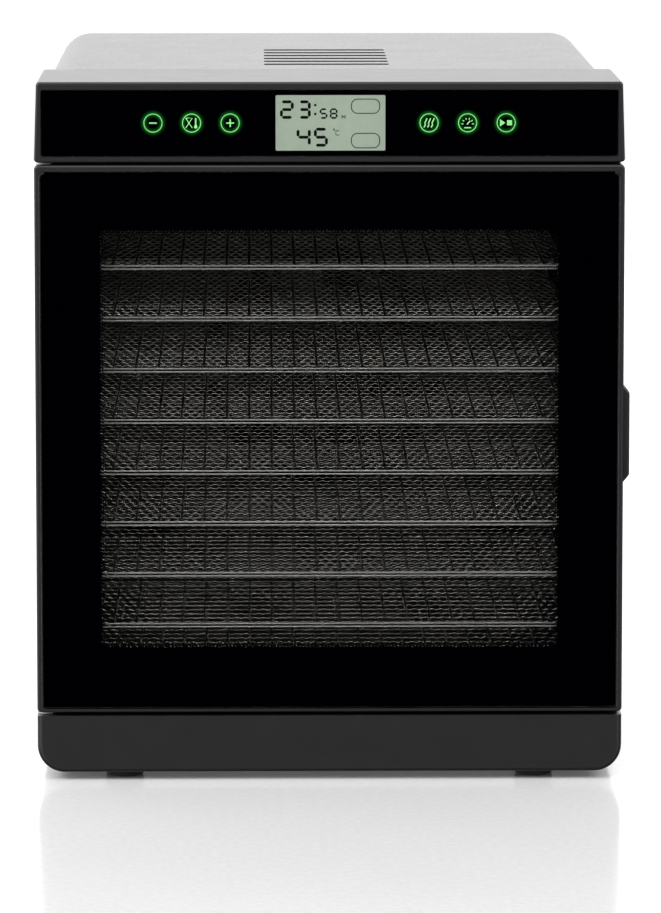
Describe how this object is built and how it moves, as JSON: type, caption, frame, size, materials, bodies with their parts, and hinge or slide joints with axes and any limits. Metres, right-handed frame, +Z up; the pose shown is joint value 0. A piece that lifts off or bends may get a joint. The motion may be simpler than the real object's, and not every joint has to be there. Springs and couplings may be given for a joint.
{
  "type": "food dehydrator",
  "caption": "Cabinet food dehydrator with a hinged glass door, sliding wire trays, a rear fan and heater, and a touch control panel above the door",
  "frame": {"origin": "on the surface the feet stand on, under the middle of the body", "axes": "+Z up, -Y out of the door towards the user, +X to the user's right"},
  "size_m": [0.3488, 0.45, 0.4135],
  "materials": {
    "black_plastic": "fine satin moulded",
    "casing_paint": "satin powder coat",
    "panel_glass": "polished black printed glass",
    "door_glass": "polished clear glass with printed border",
    "lcd": "grey-green liquid crystal panel",
    "light_guide": "clear moulded acrylic",
    "stainless": "bright drawn wire",
    "liner_steel": "plain rolled sheet",
    "zinc_steel": "zinc plated",
    "rubber": "matt",
    "heater_sheath": "oxidised tube",
    "lamination": "varnished stack",
    "copper_coil": "taped and varnished winding",
    "circuit_board": "solder mask",
    "fan_plastic": "plain mill finish",
    "nylon": "natural moulded",
    "magnet": "sintered",
    "ceramic": "plain fired"
  },
  "bodies": {
    "cabinet": {"base_housing": "black_plastic", "base_plate": "black_plastic", "feet": "rubber", "foot_screws": "zinc_steel", "outer_casing": "casing_paint", "vent_baffle": "liner_steel", "rear_cover": "casing_paint", "rear_screws": "zinc_steel", "cord_gland": "black_plastic", "front_frame": "black_plastic", "strike_plates": "zinc_steel", "chamber_left": "liner_steel", "chamber_right": "liner_steel", "chamber_floor": "liner_steel", "chamber_ceiling": "liner_steel", "rear_baffle": "liner_steel", "fan_guard": "liner_steel", "thermal_cutout": "ceramic", "temperature_sensor": "stainless", "heater_ring": "heater_sheath", "heater_clips": "ceramic", "motor_bracket": "zinc_steel", "motor_stator": "lamination", "motor_coil": "copper_coil", "motor_screws": "zinc_steel", "board_standoffs": "nylon", "power_board": "circuit_board", "mains_lead": "rubber", "control_housing": "black_plastic", "control_glass": "panel_glass", "display_module": "black_plastic", "lcd_panel": "lcd", "icon_light_guides": "light_guide", "control_board": "circuit_board", "board_screws": "zinc_steel", "housing_screws": "zinc_steel", "hinge_pins": "stainless"},
    "door": {"door_frame": "black_plastic", "door_glass": "door_glass", "door_inner_panel": "black_plastic", "door_seal": "rubber", "door_magnets": "magnet", "door_screws": "zinc_steel", "hinge_bushes": "nylon", "door_handle": "black_plastic", "handle_screws": "zinc_steel"},
    "fan": {"fan_impeller": "fan_plastic", "motor_shaft": "stainless", "shaft_nut": "zinc_steel"},
    "tray_1_body": {"tray_1": "stainless"},
    "tray_2_body": {"tray_2": "stainless"},
    "tray_3_body": {"tray_3": "stainless"},
    "tray_4_body": {"tray_4": "stainless"},
    "tray_5_body": {"tray_5": "stainless"},
    "tray_6_body": {"tray_6": "stainless"},
    "tray_7_body": {"tray_7": "stainless"},
    "tray_8_body": {"tray_8": "stainless"},
    "tray_9_body": {"tray_9": "stainless"}
  },
  "joints": [
    {"name": "door_hinge", "type": "hinge", "parent": "cabinet", "child": "door", "pos_m": [-0.167, -0.214, 0.203], "axis": [0, 0, -1], "range_deg": [0, 115]},
    {"name": "fan_spin", "type": "hinge", "parent": "cabinet", "child": "fan", "pos_m": [0, 0.16, 0.201], "axis": [0, -1, 0], "continuous": true},
    {"name": "tray_1_slide", "type": "slide", "parent": "cabinet", "child": "tray_1_body", "axis": [0, -1, 0], "range_m": [0, 0.0605]},
    {"name": "tray_2_slide", "type": "slide", "parent": "cabinet", "child": "tray_2_body", "axis": [0, -1, 0], "range_m": [0, 0.0605]},
    {"name": "tray_3_slide", "type": "slide", "parent": "cabinet", "child": "tray_3_body", "axis": [0, -1, 0], "range_m": [0, 0.0605]},
    {"name": "tray_4_slide", "type": "slide", "parent": "cabinet", "child": "tray_4_body", "axis": [0, -1, 0], "range_m": [0, 0.0605]},
    {"name": "tray_5_slide", "type": "slide", "parent": "cabinet", "child": "tray_5_body", "axis": [0, -1, 0], "range_m": [0, 0.0605]},
    {"name": "tray_6_slide", "type": "slide", "parent": "cabinet", "child": "tray_6_body", "axis": [0, -1, 0], "range_m": [0, 0.0605]},
    {"name": "tray_7_slide", "type": "slide", "parent": "cabinet", "child": "tray_7_body", "axis": [0, -1, 0], "range_m": [0, 0.0605]},
    {"name": "tray_8_slide", "type": "slide", "parent": "cabinet", "child": "tray_8_body", "axis": [0, -1, 0], "range_m": [0, 0.0605]},
    {"name": "tray_9_slide", "type": "slide", "parent": "cabinet", "child": "tray_9_body", "axis": [0, -1, 0], "range_m": [0, 0.0605]}
  ],
  "couplings": [
    {"joint": "tray_1_slide", "follows": "door_hinge", "m_per_rad": 0.03},
    {"joint": "tray_2_slide", "follows": "door_hinge", "m_per_rad": 0.03},
    {"joint": "tray_3_slide", "follows": "door_hinge", "m_per_rad": 0.03},
    {"joint": "tray_4_slide", "follows": "door_hinge", "m_per_rad": 0.03},
    {"joint": "tray_5_slide", "follows": "door_hinge", "m_per_rad": 0.03},
    {"joint": "tray_6_slide", "follows": "door_hinge", "m_per_rad": 0.03},
    {"joint": "tray_7_slide", "follows": "door_hinge", "m_per_rad": 0.03},
    {"joint": "tray_8_slide", "follows": "door_hinge", "m_per_rad": 0.03},
    {"joint": "tray_9_slide", "follows": "door_hinge", "m_per_rad": 0.03}
  ]
}
